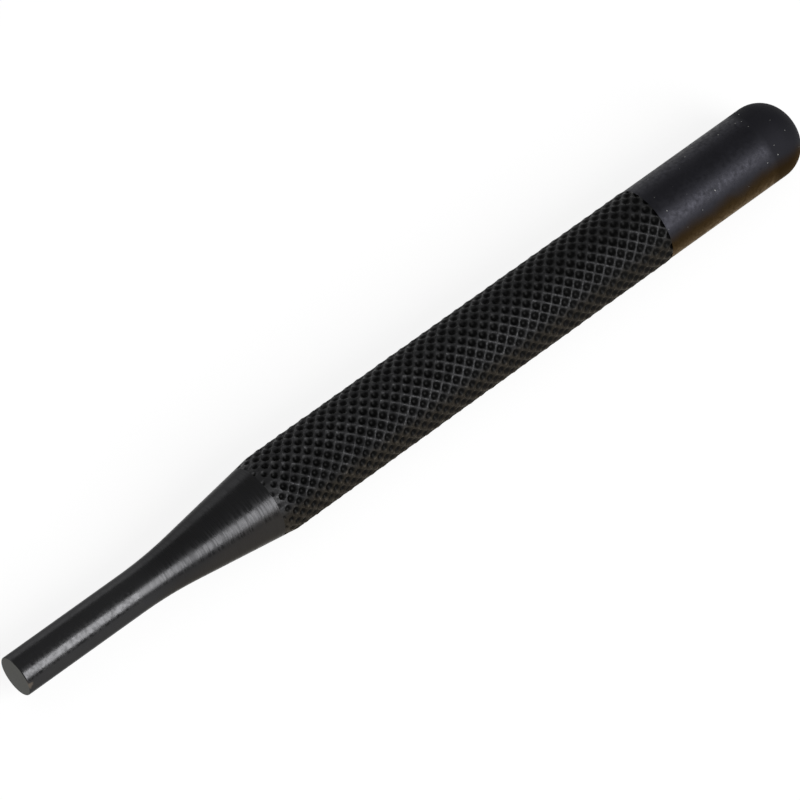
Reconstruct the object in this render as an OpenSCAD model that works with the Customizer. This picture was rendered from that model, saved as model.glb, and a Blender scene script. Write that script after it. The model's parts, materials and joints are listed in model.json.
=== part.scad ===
// Pin punch: one round steel bar with a knurled grip, drawn down through a hollow taper to a straight pin.
// It lies on its side on the ridges of its knurl, the pin towards -X and the struck head towards +X.

/* [Punch] */
// Length over all, from the end face of the pin to the top of the head
overall_l = 98.2; // [85:0.1:140]
// Diameter of the plain bar, as it is left at the head
bar_d = 8; // [7.2:0.1:10]

/* [Pin] */
// Diameter of the straight pin
pin_d = 4.3; // [2:0.1:5]
// Length of the straight pin
pin_l = 14.2; // [6:0.1:20]
// Edge break round the end face of the pin
pin_break = 0.15; // [0.05:0.05:0.4]

/* [Taper] */
// Radius of the hollow blend that leads from the pin into the cone
blend_r = 46.5; // [20:0.5:70]
// Angle of the cone's side to the length of the bar, in degrees
cone_angle = 7.9; // [6:0.1:11]

/* [Knurled grip] */
// Height of the knurl's ridges above the plain bar
knurl_rise = 0.11; // [0:0.01:0.2]
// Depth of the sunken diamonds between the ridges
knurl_depth = 0.29; // [0.15:0.01:0.4]
// Distance from one ridge to the next, measured square across them
knurl_pitch = 1; // [0.8:0.1:1.6]
// Angle of the ridges to the length of the bar, in degrees
knurl_helix = 45; // [30:1:50]

/* [Head] */
// Length of the plain head, from the end of the knurl to its top
head_l = 18.7; // [12:0.1:28]
// Radius of the rounded edge of the head
head_edge_r = 3.4; // [1:0.1:3.5]
// Radius of the crowned top of the head
head_crown_r = 10; // [6:0.5:20]

/* [Hidden] */

// Facets of a full turn, and of a full turn of the long blend arc
$fn = 96;
blend_fn = 720;

bar_r = bar_d / 2;
pin_r = pin_d / 2;

// The ridges stand a little proud of the bar, and the diamonds between them are sunk below it
knurl_r = bar_r + knurl_rise;
root_r = knurl_r - knurl_depth;

// Heights along the bar, from the end face of the pin: the blend runs out into the cone,
// the cone comes up to the bottom of the sunken diamonds, and the knurl stops at the head
blend_end_r = pin_r + blend_r * (1 - cos(cone_angle));
blend_end_z = pin_l + blend_r * sin(cone_angle);
taper_end_z = blend_end_z + (root_r - blend_end_r) / tan(cone_angle);
head_start_z = overall_l - head_l;
grip_l = head_start_z - taper_end_z;

// Centres of the arcs of the head: the edge arc touches the bar's side and the crown
crown_z = overall_l - head_crown_r;
edge_c = bar_r - head_edge_r;
edge_z = crown_z + sqrt((head_crown_r - head_edge_r) ^ 2 - edge_c ^ 2);

// The knurl is a chequer of ridge crossings and pits: each start of the two helices of ridges
// gives a column of each, and the rows lie half a ridge spacing apart along the bar
knurl_starts = round(2 * PI * bar_r * cos(knurl_helix) / knurl_pitch);
columns = 2 * knurl_starts;
column_angle = 360 / columns;
rows = round(grip_l * columns / (2 * PI * bar_r) * tan(knurl_helix));
row_l = grip_l / rows;

// Two columns of crossings touch the ground, one on each side of the lowest line
axis_h = knurl_r * cos(column_angle / 2);

// Turns a shape that stands on its pin so that it lies on its knurl
module lie_down() {
    translate([-overall_l / 2, 0, axis_h])
        rotate([0, 90, 0])
            children();
}

module pin() {
    color("#2d2d2f")
        lie_down()
            rotate_extrude()
                polygon([
                    [0, 0],
                    [pin_r - pin_break, 0],
                    [pin_r, pin_break],
                    [pin_r, pin_l],
                    [0, pin_l]
                ]);
}

module taper() {
    color("#29292b")
        lie_down()
            rotate_extrude()
                difference() {
                    polygon([
                        [0, pin_l],
                        [pin_r, pin_l],
                        [blend_end_r, blend_end_z],
                        [root_r, taper_end_z],
                        [0, taper_end_z]
                    ]);
                    translate([pin_r + blend_r, pin_l])
                        circle(r = blend_r, $fn = blend_fn);
                }
}

// A corner of the knurl: a pit or a crossing, and the ridges run out on the cone, turned after them
function knurl_corner(row, column) =
    let (
        z = row * row_l,
        cone_r = root_r + z * tan(cone_angle),
        r = is_pit(row, column) ? root_r : min(knurl_r, cone_r),
        a = (column + 1 / 2) * column_angle
    )
    [r * cos(a), r * sin(a), taper_end_z + z];

function is_pit(row, column) = (row + column) % 2 == 1;

function corner_number(row, column) = row * columns + (column + columns) % columns;

// The four sides of a pit, or two of them where the knurl ends across it
function pit_faces(row, column) =
    let (
        pit = corner_number(row, column),
        left = corner_number(row, column - 1),
        right = corner_number(row, column + 1),
        below = corner_number(row - 1, column),
        above = corner_number(row + 1, column)
    )
    concat(
        row < rows ? [[pit, above, right], [pit, left, above]] : [],
        row > 0 ? [[pit, right, below], [pit, below, left]] : []
    );

module knurled_grip() {
    corners = [for (row = [0 : rows], column = [0 : columns - 1]) knurl_corner(row, column)];
    sides = [
        for (row = [0 : rows], column = [0 : columns - 1])
            if (is_pit(row, column))
                each pit_faces(row, column)
    ];
    pin_end = [for (column = [0 : columns - 1]) corner_number(0, column)];
    head_end = [for (column = [columns - 1 : -1 : 0]) corner_number(rows, column)];
    color("#222224")
        lie_down()
            polyhedron(points = corners, faces = concat([pin_end], sides, [head_end]));
}

module head() {
    color("#38383b")
        lie_down()
            rotate_extrude()
                intersection() {
                    union() {
                        translate([0, head_start_z])
                            square([bar_r, edge_z - head_start_z]);
                        translate([edge_c, edge_z])
                            circle(r = head_edge_r);
                        intersection() {
                            translate([0, crown_z])
                                circle(r = head_crown_r);
                            polygon([
                                [0, crown_z],
                                [2 * edge_c, crown_z + 2 * (edge_z - crown_z)],
                                [0, crown_z + 2 * (edge_z - crown_z)]
                            ]);
                        }
                    }
                    translate([0, head_start_z])
                        square([bar_r, head_l]);
                }
}

pin();
taper();
knurled_grip();
head();
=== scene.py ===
import bpy
import json
import math
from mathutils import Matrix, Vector


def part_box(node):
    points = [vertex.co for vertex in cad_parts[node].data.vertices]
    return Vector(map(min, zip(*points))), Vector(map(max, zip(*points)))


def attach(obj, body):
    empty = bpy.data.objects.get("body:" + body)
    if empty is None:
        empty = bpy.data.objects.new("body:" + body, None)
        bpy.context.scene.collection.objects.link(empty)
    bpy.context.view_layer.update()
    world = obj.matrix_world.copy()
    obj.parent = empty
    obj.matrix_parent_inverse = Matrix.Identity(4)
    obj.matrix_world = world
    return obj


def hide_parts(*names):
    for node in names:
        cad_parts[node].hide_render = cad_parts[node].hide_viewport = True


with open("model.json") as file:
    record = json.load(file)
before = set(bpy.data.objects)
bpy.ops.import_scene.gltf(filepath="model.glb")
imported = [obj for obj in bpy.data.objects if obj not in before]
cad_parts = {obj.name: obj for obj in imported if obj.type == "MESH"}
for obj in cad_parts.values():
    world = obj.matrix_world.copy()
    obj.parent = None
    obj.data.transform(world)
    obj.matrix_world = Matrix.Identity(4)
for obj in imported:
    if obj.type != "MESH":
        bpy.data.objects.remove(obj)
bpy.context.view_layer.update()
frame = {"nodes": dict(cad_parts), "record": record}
mm = 0.001
mounts = {mount["name"]: mount for mount in frame["record"]["mounts"]}
print("frame loaded:", sorted(frame["nodes"]))

bar = {
    "axisZ": mounts["drift_pin"]["pos_m"][2],               # height of the bar's centre line
    "pinR": mounts["drift_pin"]["dims"]["r_mm"] * mm,
    "headR": mounts["head_shank"]["dims"]["r_mm"] * mm,
    "tipX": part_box("pin")[0].x,                             # the pin's end face
    "taperX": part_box("taper")[0].x,                         # where each of the other sections starts
    "gripX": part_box("knurled_grip")[0].x,
    "headX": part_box("head")[0].x,
    "topX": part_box("head")[1].x,                            # the head's crowned end
    "sides": 192,                                           # facets round the turned sections
}


def arcStations(centreX, centreR, radius, fromAngle, toAngle, steps):
    # points of an arc in the profile, angles in degrees from the outward radius, turning towards the head
    angles = [math.radians(fromAngle + (toAngle - fromAngle) * i / steps) for i in range(steps + 1)]
    return [(centreX + radius * math.sin(a), centreR + radius * math.cos(a)) for a in angles]


def turnPiece(name, stations):
    # a filled circle drawn out along the bar, ring by ring, as a lathe would leave it
    x, r = stations[0]
    bpy.ops.object.select_all(action="DESELECT")
    bpy.ops.mesh.primitive_circle_add(
        vertices=bar["sides"], radius=r, fill_type="NGON",
        location=(x, 0, bar["axisZ"]), rotation=(0, math.pi / 2, 0))
    piece = bpy.context.object
    piece.name = name
    bpy.ops.object.transform_apply(location=True, rotation=True, scale=True)
    bpy.ops.object.mode_set(mode="EDIT")
    bpy.ops.mesh.select_all(action="SELECT")
    for nextX, nextR in stations[1:]:
        bpy.ops.mesh.extrude_region_move(TRANSFORM_OT_translate={"value": (nextX - x, 0, 0)})
        bpy.ops.transform.resize(value=(1, nextR / r, nextR / r), center_override=(nextX, 0, bar["axisZ"]))
        x, r = nextX, nextR
    bpy.ops.mesh.select_all(action="SELECT")
    bpy.ops.mesh.normals_make_consistent(inside=False)
    bpy.ops.object.mode_set(mode="OBJECT")
    return piece


def smoothPiece(piece, angle):
    bpy.ops.object.select_all(action="DESELECT")
    piece.select_set(True)
    bpy.context.view_layer.objects.active = piece
    bpy.ops.object.shade_smooth_by_angle(angle=math.radians(angle))


pin = {
    "edgeR": 0.15 * mm,          # broken edge round the end face
    "edgeSteps": 4,
    "smoothAngle": 30,
}


def makePin():
    edgeC = bar["pinR"] - pin["edgeR"]
    stations = arcStations(bar["tipX"] + pin["edgeR"], edgeC, pin["edgeR"], -90, 0, pin["edgeSteps"])
    stations.append((bar["taperX"], bar["pinR"]))
    piece = turnPiece("straight_pin", stations)
    smoothPiece(piece, pin["smoothAngle"])
    return piece


taper = {
    "blendR": 46.5 * mm,         # hollow curve from the pin into the cone
    "coneAngle": 7.9,
    "blendSteps": 24,
    "runOut": 0.65 * mm,         # the cone's plain end, before the first diamonds
    "smoothAngle": 30,
}


def coneR(x):
    # radius of the cone at a place along the bar
    angle = math.radians(taper["coneAngle"])
    endX = bar["taperX"] + taper["blendR"] * math.sin(angle)
    endR = bar["pinR"] + taper["blendR"] * (1 - math.cos(angle))
    return endR + (x - endX) * math.tan(angle)


def makeTaper():
    hollow = arcStations(bar["taperX"], bar["pinR"] + taper["blendR"], taper["blendR"],
                         180, 180 - taper["coneAngle"], taper["blendSteps"])
    endX = bar["gripX"] + taper["runOut"]
    piece = turnPiece("hollow_taper", hollow + [(endX, coneR(endX))])
    smoothPiece(piece, taper["smoothAngle"])
    return piece


knurl = {
    "starts": 18,                # ridges of each hand round the bar
    "rows": 72,                  # half ridge spacings along the grip
    "pinRise": 0.2 * mm,         # ridges over the plain bar, where they meet the cone
    "headRise": 0.07 * mm,       # and at the head
    "steps": (                   # down into a sunken diamond
        (0.03, 0.02, 0.35),      # width in mm, share of the depth, rounding of the outline
        (0.12, 0.32, 0.35),
        (0.18, 0.50, 0.5),
        (0.08, 0.16, 0.6),
    ),
    "saddle": 0.05 * mm,         # the ridges are lower between their crossings by this
    "spareRows": 4,              # rolled past both ends of the grip and cut off
    "rowPhase": 0.46,            # share of a spacing from the last whole diamonds' middle to the head
    "turn": -1.6,                # degrees by which the pattern is turned about the bar
    "headBevel": 0.3 * mm,       # the ridges die away over this length at the head
    "clearR": 0.4 * mm,          # the blank is wider than the ridges by this
    "uneven": 0.03 * mm,         # how far the rolls' wear moves the surface in and out
    "unevenL": 1.1 * mm,         # size of those patches
    "sheetMerge": 0.002 * mm,    # corners this close become one, between diamonds of the flat sheet
    "rollMerge": 0.01 * mm,      # and where the rolled sheet meets itself
    "smoothAngle": 40,
}


def makeKnurl():
    rootR = coneR(bar["gripX"])
    rowL = (bar["headX"] - bar["gripX"]) / knurl["rows"]
    columnL = math.pi * rootR / knurl["starts"]
    pinDepth = bar["headR"] + knurl["pinRise"] - rootR
    headDepth = bar["headR"] + knurl["headRise"] - rootR
    along = knurl["rows"] // 2 + knurl["spareRows"]

    # one sunken diamond, modelled flat, facing -Y, its floor on the plane y = 0
    bpy.ops.object.select_all(action="DESELECT")
    bpy.ops.mesh.primitive_circle_add(vertices=4, radius=1, fill_type="NOTHING",
                                      location=(0, -pinDepth, 0), rotation=(math.pi / 2, 0, 0))
    piece = bpy.context.object
    piece.name = "knurled_grip_rolled"
    piece.scale = (rowL, columnL, 1)
    bpy.ops.object.transform_apply(location=True, rotation=True, scale=True)
    bpy.ops.object.mode_set(mode="EDIT")
    bpy.ops.mesh.select_all(action="SELECT")
    bpy.ops.mesh.subdivide(number_cuts=1)
    bpy.ops.mesh.edge_face_add()
    bpy.ops.mesh.select_all(action="DESELECT")
    bpy.ops.object.mode_set(mode="OBJECT")
    facesIn = piece.data.polygons[0].normal.y > 0
    for corner in piece.data.vertices:
        # only the corners halfway between two crossings
        corner.select = min(abs(corner.co.x), abs(corner.co.z)) > rowL / 4
    bpy.ops.object.mode_set(mode="EDIT")
    bpy.ops.transform.translate(value=(0, knurl["saddle"], 0))
    bpy.ops.mesh.select_all(action="SELECT")
    if facesIn:
        bpy.ops.mesh.flip_normals()
    for width, share, rounding in knurl["steps"]:
        bpy.ops.mesh.inset(thickness=width * mm, depth=-share * pinDepth)
        bpy.ops.transform.tosphere(value=rounding)
    bpy.ops.object.mode_set(mode="OBJECT")

    # laid out as a sheet: a second diamond beside it, then round the bar, then along it
    layout = {
        "pair": (2, (rowL, 0, columnL)),
        "round": (knurl["starts"], (0, 0, 2 * columnL)),
        "along": (along, (2 * rowL, 0, 0)),
    }
    for name, (count, offset) in layout.items():
        array = piece.modifiers.new(name, "ARRAY")
        array.count = count
        array.use_relative_offset = False
        array.use_constant_offset = True
        array.constant_offset_displace = offset
        array.use_merge_vertices = True
        array.merge_threshold = knurl["sheetMerge"]
        bpy.ops.object.modifier_apply(modifier=name)
    print("knurl sheet:", len(piece.data.vertices), "corners")

    # the ridges get lower towards the head, then the sheet is rolled up round the bar
    lower = piece.modifiers.new("lower", "SIMPLE_DEFORM")
    lower.deform_method = "TAPER"
    lower.deform_axis = "X"
    lower.factor = headDepth / pinDepth - 1
    lower.lock_z = True
    bpy.ops.object.modifier_apply(modifier="lower")
    roll = piece.modifiers.new("roll", "SIMPLE_DEFORM")
    roll.deform_method = "BEND"
    roll.deform_axis = "X"
    halves = 2 * knurl["starts"]
    roll.angle = 2 * math.pi * (halves + 1) / halves        # the sheet is half a diamond over one turn
    bpy.ops.object.modifier_apply(modifier="roll")
    bpy.ops.object.mode_set(mode="EDIT")
    bpy.ops.mesh.select_all(action="SELECT")
    bpy.ops.mesh.remove_doubles(threshold=knurl["rollMerge"])
    bpy.ops.transform.translate(value=(0, -rootR, 0))
    bpy.ops.object.mode_set(mode="OBJECT")

    # wear of the rolls, then both open ends are closed and the sleeve is put in its place
    patches = bpy.data.textures.new("roll_wear", "CLOUDS")
    patches.noise_scale = knurl["unevenL"]
    patches.noise_depth = 1
    wear = piece.modifiers.new("wear", "DISPLACE")
    wear.texture = patches
    wear.texture_coords = "LOCAL"
    wear.direction = "NORMAL"
    wear.mid_level = 0.5
    wear.strength = 2 * knurl["uneven"]
    bpy.ops.object.modifier_apply(modifier="wear")
    bpy.ops.object.mode_set(mode="EDIT")
    bpy.ops.mesh.select_all(action="SELECT")
    bpy.ops.mesh.fill_holes(sides=0)
    bpy.ops.object.mode_set(mode="OBJECT")
    lastX = bar["headX"] - knurl["rowPhase"] * 2 * rowL
    piece.location = (lastX - (along - knurl["spareRows"] // 2) * 2 * rowL, 0, bar["axisZ"])
    piece.rotation_euler = (math.radians(knurl["turn"]), 0, 0)
    bpy.ops.object.transform_apply(location=True, rotation=True, scale=True)

    # turned down to the cone at one end and to the plain bar at the other
    fullR = bar["headR"] + knurl["pinRise"] + knurl["clearR"]
    fullX = bar["gripX"] + (fullR - rootR) / math.tan(math.radians(taper["coneAngle"]))
    startX = bar["gripX"] + taper["runOut"]
    bevelX = bar["headX"] - knurl["headBevel"]
    blank = turnPiece("blank", [
        (startX, coneR(startX)), (fullX, fullR), (bevelX - knurl["clearR"], fullR),
        (bevelX, rootR + headDepth), (bar["headX"], bar["headR"])])
    cut = piece.modifiers.new("turned", "BOOLEAN")
    cut.operation = "INTERSECT"
    cut.solver = "MANIFOLD"
    cut.object = blank
    bpy.ops.object.select_all(action="DESELECT")
    piece.select_set(True)
    bpy.context.view_layer.objects.active = piece
    bpy.ops.object.modifier_apply(modifier="turned")
    bpy.data.objects.remove(blank)
    smoothPiece(piece, knurl["smoothAngle"])
    print("knurled grip:", len(piece.data.polygons), "faces")
    return piece


head = {
    "edgeR": 3.4 * mm,           # rounded edge of the struck end
    "crownR": 10 * mm,           # its crowned top
    "edgeSteps": 20,
    "crownSteps": 8,
    "poleR": 0.08 * mm,          # small flat that closes the crown
    "smoothAngle": 30,
}


def makeHead():
    crownX = bar["topX"] - head["crownR"]
    edgeC = bar["headR"] - head["edgeR"]
    reach = head["crownR"] - head["edgeR"]
    edgeX = crownX + math.sqrt(reach ** 2 - edgeC ** 2)
    meet = 90 - math.degrees(math.asin(edgeC / reach))      # where the edge runs into the crown
    pole = 90 - math.degrees(math.asin(head["poleR"] / head["crownR"]))
    stations = [(bar["headX"], bar["headR"])]
    stations += arcStations(edgeX, edgeC, head["edgeR"], 0, meet, head["edgeSteps"])
    stations += arcStations(crownX, 0, head["crownR"], meet, pole, head["crownSteps"])[1:]
    piece = turnPiece("crowned_head", stations)
    smoothPiece(piece, head["smoothAngle"])
    return piece


def toLinear(hexColour):
    channels = [int(hexColour[i:i + 2], 16) / 255 for i in (1, 3, 5)]
    return [c / 12.92 if c <= 0.04045 else ((c + 0.055) / 1.055) ** 2.4 for c in channels] + [1]


def addNode(tree, kind, settings=None, links=None):
    # a key is a socket's name or number, or else one of the node's own settings
    node = tree.nodes.new(kind)
    for key, value in (settings or {}).items():
        if isinstance(key, int) or key in node.inputs:
            node.inputs[key].default_value = value
        else:
            setattr(node, key, value)
    for key, (source, output) in (links or {}).items():
        tree.links.new(source.outputs[output], node.inputs[key])
    return node


oxide = {
    "markDetail": 3, "grainDetail": 2, "cloudDetail": 4,
    "reliefSpan": (0.35, 0.65),          # height of the marks over which the gloss goes from bright to dull
    "lowSide": (0, -0.89, -0.45),        # the low front side, near the ground, which is tinted brown
    "brownFade": 1.3,                    # the brown comes in over this length, mm
}


def oxideSteel(look):
    # black oxide is a thin dark skin over the worked steel: nearly black, with its gloss broken up by the
    # tool marks, the finest of which are drawn coarser than real ones so that they show
    material = bpy.data.materials.new(look["name"])
    material.use_nodes = True
    tree = material.node_tree
    tree.nodes.clear()
    place = addNode(tree, "ShaderNodeTexCoord")
    onBar = addNode(tree, "ShaderNodeMapping",
                    {"Location": (0, 0, -bar["axisZ"] / mm), "Scale": (1 / mm, 1 / mm, 1 / mm)},
                    {"Vector": (place, "Object")})          # millimetres from the centre line
    along = addNode(tree, "ShaderNodeSeparateXYZ", links={0: (onBar, 0)})

    # tool marks round the bar, grain of the skin, and cloudy patches
    markL, markArc = look["marks"]
    drawnOut = addNode(tree, "ShaderNodeMapping", {"Scale": (1 / markL, 1 / markArc, 1 / markArc)},
                       {"Vector": (onBar, 0)})
    marks = addNode(tree, "ShaderNodeTexNoise", {"Scale": 1, "Detail": oxide["markDetail"]},
                    {"Vector": (drawnOut, 0)})
    grain = addNode(tree, "ShaderNodeTexNoise",
                    {"Scale": 1 / look["grain"], "Detail": oxide["grainDetail"]}, {"Vector": (onBar, 0)})
    clouds = addNode(tree, "ShaderNodeTexNoise",
                     {"Scale": 1 / look["clouds"], "Detail": oxide["cloudDetail"]}, {"Vector": (onBar, 0)})
    relief = addNode(tree, "ShaderNodeMix", {0: look["markShare"]}, {2: (grain, 0), 3: (marks, 0)})
    bump = addNode(tree, "ShaderNodeBump", {"Strength": 1, "Distance": look["relief"] * mm},
                   {"Height": (relief, 0)})

    # the skin in two shades, tinted brown on the low front side, its glancing gloss too
    skin = addNode(tree, "ShaderNodeMix",
                   {"data_type": "RGBA", 6: toLinear(look["dark"]), 7: toLinear(look["light"])},
                   {0: (clouds, 0)})
    low = addNode(tree, "ShaderNodeVectorMath", {"operation": "DOT_PRODUCT", 1: oxide["lowSide"]},
                  {0: (onBar, 0)})
    lowWavy = addNode(tree, "ShaderNodeMath", {"operation": "ADD"}, {0: (low, 1), 1: (clouds, 0)})
    brownOnLowSide = addNode(tree, "ShaderNodeMapRange",
                      {"interpolation_type": "SMOOTHSTEP", "From Min": look["brownFrom"],
                       "From Max": look["brownFrom"] + oxide["brownFade"], "To Max": look["brownShare"]},
                      {"Value": (lowWavy, 0)})
    colour = addNode(tree, "ShaderNodeMix", {"data_type": "RGBA", 7: toLinear(look["brown"])},
                     {0: (brownOnLowSide, 0), 6: (skin, 2)})
    matt = addNode(tree, "ShaderNodeMapRange",
                   {"From Min": oxide["reliefSpan"][0], "From Max": oxide["reliefSpan"][1],
                    "To Min": look["gloss"][0], "To Max": look["gloss"][1]}, {"Value": (relief, 0)})
    glancing = addNode(tree, "ShaderNodeMix",
                       {"data_type": "RGBA", 6: toLinear(look["edgeGloss"]),
                        7: toLinear(look["brownGloss"])}, {0: (brownOnLowSide, 0)})
    shader = addNode(tree, "ShaderNodeBsdfPrincipled", {"Metallic": 1},
                     {"Base Color": (colour, 2), "Roughness": (matt, 0), "Normal": (bump, 0),
                      "Specular Tint": (glancing, 2)})
    addNode(tree, "ShaderNodeOutputMaterial", links={"Surface": (shader, 0)})
    return {"material": material, "tree": tree, "onBar": onBar, "along": along, "grain": grain,
            "clouds": clouds, "matt": matt, "shader": shader}


def coverSteel(steel, mask, colour, roughness):
    # lays another finish over the skin where the mask says, on top of what is there already
    tree = steel["tree"]
    sockets = steel["shader"].inputs
    over = addNode(tree, "ShaderNodeMix", {"data_type": "RGBA", 7: toLinear(colour)}, {0: mask})
    tree.links.new(sockets["Base Color"].links[0].from_socket, over.inputs[6])
    tree.links.new(over.outputs[2], sockets["Base Color"])
    overMatt = addNode(tree, "ShaderNodeMix", {3: roughness}, {0: mask})
    tree.links.new(sockets["Roughness"].links[0].from_socket, overMatt.inputs[2])
    tree.links.new(overMatt.outputs[0], sockets["Roughness"])


# ground: smooth, with a satin sheen
pinSteel = {
    "name": "black oxide on ground steel",
    "dark": "#343435", "light": "#3c3c3d",
    "brown": "#3b3937", "brownFrom": 1.2, "brownShare": 0.3,
    "marks": (0.14, 0.7),                       # along and round the bar, mm
    "grain": 0.35,
    "clouds": 2.5,
    "markShare": 0.2, "relief": 0.007,
    "gloss": (0.17, 0.36),
    "edgeGloss": "#c2c2c2", "brownGloss": "#c2c2c2",
    "endFace": "#5c5c59", "endGloss": 0.45,
    "endFrom": 0.06, "endTo": 0.02,             # its colour comes in between these, from the end face, mm
    "rimWear": "#6c635a", "rimGloss": 0.5,
    "rimFrom": 0.5, "rimTo": 0.05,              # the rim is rubbed more and more between these, mm
    "rimRub": 0.75,                             # what the rubbing adds to the cloudy patches
    "wornFrom": 1.15, "wornTo": 1.35,           # sums of both at which the wear starts and is full
    "wornShare": 0.7,
    "nick": (0.15, -2.03, 0.7),                 # worn place on the rim, from the end face's middle, mm
    "nickFrom": 0.8, "nickTo": 0.5,             # how far it reaches, faintly and fully, mm
    "nickRagged": 0.7,                          # the grain moves its edge by this, mm
    "nickShare": 0.8, "nickGloss": 0.55,
}


def makePinSteel():
    steel = oxideSteel(pinSteel)
    tree = steel["tree"]
    tip = bar["tipX"] / mm

    # the rim is rubbed brown in places
    atRim = addNode(tree, "ShaderNodeMapRange",
                    {"From Min": tip + pinSteel["rimFrom"], "From Max": tip + pinSteel["rimTo"],
                     "To Max": pinSteel["rimRub"]}, {"Value": (steel["along"], 0)})
    rubbed = addNode(tree, "ShaderNodeMath", {"operation": "ADD"}, {0: (atRim, 0), 1: (steel["clouds"], 0)})
    worn = addNode(tree, "ShaderNodeMapRange",
                   {"From Min": pinSteel["wornFrom"], "From Max": pinSteel["wornTo"],
                    "To Max": pinSteel["wornShare"]}, {"Value": (rubbed, 0)})
    coverSteel(steel, (worn, 0), pinSteel["rimWear"], pinSteel["rimGloss"])
    nickX, nickY, nickZ = pinSteel["nick"]
    nick = addNode(tree, "ShaderNodeVectorMath", {"operation": "DISTANCE", 1: (tip + nickX, nickY, nickZ)},
                   {0: (steel["onBar"], 0)})
    ragged = addNode(tree, "ShaderNodeMath", {"operation": "MULTIPLY_ADD", 1: pinSteel["nickRagged"]},
                     {0: (steel["grain"], 0), 2: (nick, 1)})
    chipped = addNode(tree, "ShaderNodeMapRange",
                      {"From Min": pinSteel["nickFrom"], "From Max": pinSteel["nickTo"],
                       "To Max": pinSteel["nickShare"]}, {"Value": (ragged, 0)})
    coverSteel(steel, (chipped, 0), pinSteel["rimWear"], pinSteel["nickGloss"])

    # the end face is cut bright and has only a thin skin
    atEnd = addNode(tree, "ShaderNodeMapRange",
                    {"From Min": tip + pinSteel["endFrom"], "From Max": tip + pinSteel["endTo"]},
                    {"Value": (steel["along"], 0)})
    coverSteel(steel, (atEnd, 0), pinSteel["endFace"], pinSteel["endGloss"])
    return steel["material"]


# turned: rings round the cone that break its sheen into fine streaks
taperSteel = {
    "name": "black oxide on turned steel",
    "dark": "#2b2b2c", "light": "#323233",
    "brown": "#393633", "brownFrom": 1.6, "brownShare": 0.6,
    "marks": (0.2, 2.5),
    "grain": 0.3,
    "clouds": 3,
    "markShare": 0.8, "relief": 0.012,
    "gloss": (0.18, 0.4),
    "edgeGloss": "#c4c4c4", "brownGloss": "#c6c4c0",
    "nearPin": "#383839", "nearPinGloss": 0.28,
    "nearPinL": 4,                              # the pin's finish fades out over this length, mm
}


def makeTaperSteel():
    steel = oxideSteel(taperSteel)
    start = bar["taperX"] / mm
    fading = addNode(steel["tree"], "ShaderNodeMapRange",
                     {"From Min": start + taperSteel["nearPinL"], "From Max": start},
                     {"Value": (steel["along"], 0)})
    coverSteel(steel, (fading, 0), taperSteel["nearPin"], taperSteel["nearPinGloss"])
    return steel["material"]


# rolled: rough and dull on the ridges, with painted shade in the diamonds between them
knurlSteel = {
    "name": "black oxide on knurled steel",
    "dark": "#2a2a2b", "light": "#424243",
    "brown": "#2e2a24", "brownFrom": 2.2, "brownShare": 0.9,
    "marks": (0.3, 0.5),
    "grain": 0.2,
    "clouds": 1.2,
    "markShare": 0.3, "relief": 0.015,
    "gloss": (0.42, 0.8),
    "edgeGloss": "#ffffff", "brownGloss": "#fff8ee",
    "diamondShade": "#161616", "diamondShadeGloss": 0.5,      # painted shade in the diamonds, darker where they are deeper
    "diamondShadeRise": (0.1, 0.11),                   # its depth counts from here over the bar, at both ends, mm
    "diamondShadeFrom": 0.12, "diamondShadeTo": 0.26,         # depth at which it starts and covers all, mm
    "diamondShadeUneven": 0.2,                         # the painted shade starts shallower in some diamonds than in others, by up to this, mm
}


def makeKnurlSteel():
    steel = oxideSteel(knurlSteel)
    tree = steel["tree"]
    across = addNode(tree, "ShaderNodeVectorMath", {"operation": "MULTIPLY", 1: (0, 1, 1)},
                     {0: (steel["onBar"], 0)})
    radius = addNode(tree, "ShaderNodeVectorMath", {"operation": "LENGTH"}, {0: (across, 0)})

    # depth under the ridges, which run out on the cone
    slope = math.tan(math.radians(taper["coneAngle"]))
    cone = addNode(tree, "ShaderNodeMath", {"operation": "MULTIPLY_ADD", 1: slope, 2: coneR(0) / mm},
                   {0: (steel["along"], 0)})
    pinRise, headRise = knurlSteel["diamondShadeRise"]
    crest = addNode(tree, "ShaderNodeMapRange",
                    {"From Min": bar["gripX"] / mm, "From Max": bar["headX"] / mm,
                     "To Min": bar["headR"] / mm + pinRise, "To Max": bar["headR"] / mm + headRise},
                    {"Value": (steel["along"], 0)})
    ridge = addNode(tree, "ShaderNodeMath", {"operation": "MINIMUM"}, {0: (cone, 0), 1: (crest, 0)})
    depth = addNode(tree, "ShaderNodeMath", {"operation": "SUBTRACT"}, {0: (ridge, 0), 1: (radius, 1)})
    # painted shade: a dark colour laid into the diamonds, more of it the deeper they go, unevenly
    shadeDepth = addNode(tree, "ShaderNodeMath", {"operation": "MULTIPLY_ADD", 1: knurlSteel["diamondShadeUneven"]},
                     {0: (steel["clouds"], 0), 2: (depth, 0)})
    diamondShadeMask = addNode(tree, "ShaderNodeMapRange",
                   {"From Min": knurlSteel["diamondShadeFrom"], "From Max": knurlSteel["diamondShadeTo"]},
                   {"Value": (shadeDepth, 0)})
    coverSteel(steel, (diamondShadeMask, 0), knurlSteel["diamondShade"], knurlSteel["diamondShadeGloss"])
    return steel["material"]


# drawn bar as it came: half dull and a little mottled, with chips through the skin
headSteel = {
    "name": "black oxide on drawn bar",
    "dark": "#29292d", "light": "#313136",
    "brown": "#2a1f10", "brownFrom": 2.4, "brownShare": 1,
    "marks": (0.35, 0.6),
    "grain": 0.4,
    "clouds": 2.5,
    "markShare": 0.4, "relief": 0.013,
    "gloss": (0.34, 0.58),
    "edgeGloss": "#e6e6e6", "brownGloss": "#f7e6d2",
    "struckX": 43.6, "struckL": 0.8,            # duller from here to the top, and the change's length, mm
    "struckGloss": 0.75,
    "speckGap": 0.7, "speckR": 0.065,           # chips through the skin, mm
    "speckFrom": 1.18,                          # higher leaves fewer of them, in tighter clusters
    "speck": "#7a7a78", "speckGloss": 0.5,
}


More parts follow.
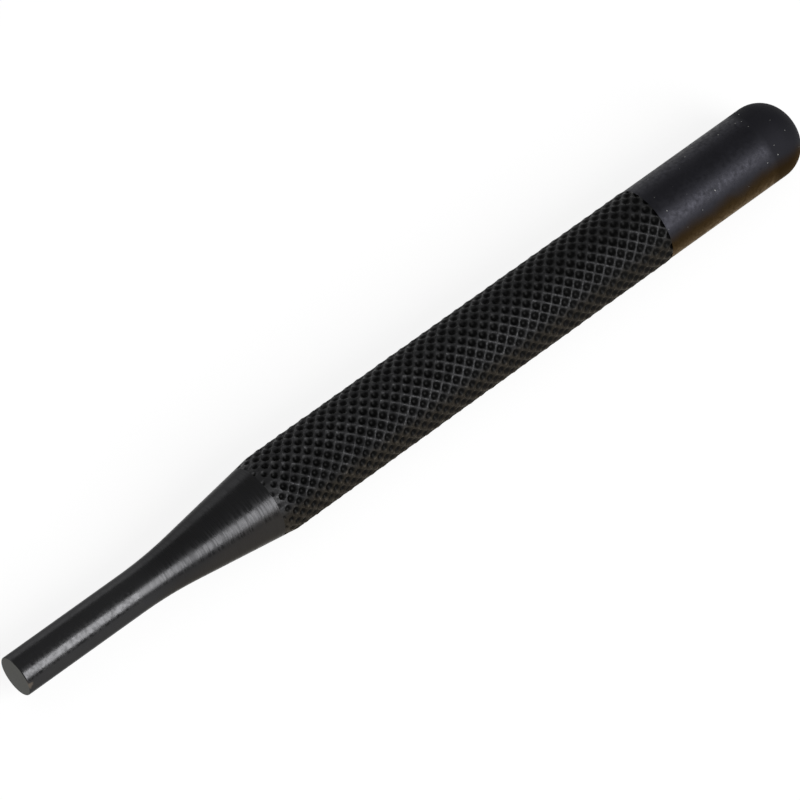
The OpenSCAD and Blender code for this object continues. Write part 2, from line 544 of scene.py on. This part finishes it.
def makeHeadSteel():
    steel = oxideSteel(headSteel)
    tree = steel["tree"]
    struckX = headSteel["struckX"]
    struck = addNode(tree, "ShaderNodeMapRange",
                     {"From Min": struckX, "From Max": struckX + headSteel["struckL"]},
                     {"Value": (steel["along"], 0)})
    dulled = addNode(tree, "ShaderNodeMix", {3: headSteel["struckGloss"]},
                     {0: (struck, 0), 2: (steel["matt"], 0)})
    tree.links.new(dulled.outputs[0], steel["shader"].inputs["Roughness"])
    cells = addNode(tree, "ShaderNodeTexVoronoi", {"Scale": 1 / headSteel["speckGap"]},
                    {"Vector": (steel["onBar"], 0)})
    pick = addNode(tree, "ShaderNodeSeparateColor", links={0: (cells, "Color")})
    crowded = addNode(tree, "ShaderNodeMath", {"operation": "ADD"}, {0: (pick, 0), 1: (steel["clouds"], 0)})
    picked = addNode(tree, "ShaderNodeMath", {"operation": "GREATER_THAN", 1: headSteel["speckFrom"]},
                     {0: (crowded, 0)})
    near = addNode(tree, "ShaderNodeMath",
                   {"operation": "LESS_THAN", 1: headSteel["speckR"] / headSteel["speckGap"]},
                   {0: (cells, "Distance")})
    chipped = addNode(tree, "ShaderNodeMath", {"operation": "MULTIPLY"}, {0: (picked, 0), 1: (near, 0)})
    coverSteel(steel, (chipped, 0), headSteel["speck"], headSteel["speckGloss"])
    return steel["material"]


pieces = {
    "pin": (makePin(), makePinSteel(), "pin_steel"),
    "taper": (makeTaper(), makeTaperSteel(), "taper_steel"),
    "knurled_grip": (makeKnurl(), makeKnurlSteel(), "knurl_steel"),
    "head": (makeHead(), makeHeadSteel(), "head_steel"),
}
for node, (piece, material, slot) in pieces.items():
    piece.data.materials.clear()
    piece.data.materials.append(material)
    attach(piece, "root")
    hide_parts(node)
print("pieces made:", len(pieces))

studio = {
    "floorSize": 4,
    "floorColour": "#7a7a7a",
    "floorGlow": 0.85,
    "backdrop": (1.6, 0.95),              # how far behind the punch it stands, and its height
    "backdropGlow": 1.2,
    "keyAim": (0.19, -0.782, 0.6),        # direction of the softbox from the punch
    "keyDistance": 1.2,
    "keySize": (0.65, 0.82),
    "keyPower": 12.5,
    "worldStrength": 0.4,
}


def makePaper(name, strength):
    # matt white paper; the glow only makes it white to the eye and in the steel
    material = bpy.data.materials.new(name)
    material.use_nodes = True
    tree = material.node_tree
    tree.nodes.clear()
    rays = addNode(tree, "ShaderNodeLightPath")
    seen = addNode(tree, "ShaderNodeMath", {"operation": "ADD"},
                   {0: (rays, "Is Camera Ray"), 1: (rays, "Is Glossy Ray")})
    seenAll = addNode(tree, "ShaderNodeMath", {"operation": "ADD", "use_clamp": True},
                      {0: (seen, 0), 1: (rays, "Is Transmission Ray")})
    glowing = addNode(tree, "ShaderNodeMath", {"operation": "MULTIPLY", 1: strength}, {0: (seenAll, 0)})
    paper = addNode(tree, "ShaderNodeBsdfDiffuse", {"Color": toLinear(studio["floorColour"])})
    glow = addNode(tree, "ShaderNodeEmission", links={"Strength": (glowing, 0)})
    both = addNode(tree, "ShaderNodeAddShader", links={0: (paper, 0), 1: (glow, 0)})
    addNode(tree, "ShaderNodeOutputMaterial", links={"Surface": (both, 0)})
    return material


def makeStudio():
    bpy.ops.object.select_all(action="DESELECT")
    bpy.ops.mesh.primitive_plane_add(size=studio["floorSize"])
    floor = bpy.context.object
    floor.name = "studio_floor"
    floor.data.materials.append(makePaper("matt white paper", studio["floorGlow"]))
    away, height = studio["backdrop"]
    bpy.ops.mesh.primitive_plane_add(size=1, location=(0, away, height / 2), rotation=(math.pi / 2, 0, 0))
    backdrop = bpy.context.object
    backdrop.name = "studio_backdrop"
    backdrop.scale = (studio["floorSize"], height, 1)
    bpy.ops.object.transform_apply(location=True, rotation=True, scale=True)
    backdrop.data.materials.append(makePaper("matt white backdrop paper", studio["backdropGlow"]))

    aim = Vector(studio["keyAim"]).normalized()
    bpy.ops.object.light_add(type="AREA", location=aim * studio["keyDistance"])
    key = bpy.context.object
    key.name = "softbox"
    key.data.shape = "ELLIPSE"
    key.data.size, key.data.size_y = studio["keySize"]
    key.data.energy = studio["keyPower"]
    key.rotation_euler = aim.to_track_quat("Z", "Y").to_euler()

    world = bpy.data.worlds.new("studio_room")
    bpy.context.scene.world = world
    world.use_nodes = True
    room = world.node_tree.nodes["Background"].inputs
    room["Color"].default_value = (1, 1, 1, 1)
    room["Strength"].default_value = studio["worldStrength"]


makeStudio()

view = {
    "aim": (-0.972 * mm, 0.288 * mm, 3.815 * mm),
    "azimuth": -40.74,
    "elevation": 56.12,
    "distance": 865.3 * mm,
    "lens": 404.55,
    "sensor": 36,
}


def makeCamera():
    azimuth, elevation = math.radians(view["azimuth"]), math.radians(view["elevation"])
    back = Vector((math.sin(azimuth) * math.cos(elevation), -math.cos(azimuth) * math.cos(elevation),
                   math.sin(elevation)))
    bpy.ops.object.camera_add(location=Vector(view["aim"]) + back * view["distance"],
                              rotation=(math.pi / 2 - elevation, 0, azimuth))
    camera = bpy.context.object
    camera.data.lens = view["lens"]
    camera.data.sensor_width = view["sensor"]
    bpy.context.scene.camera = camera


makeCamera()
bpy.context.scene.view_settings.view_transform = "Standard"
print("studio and camera set")
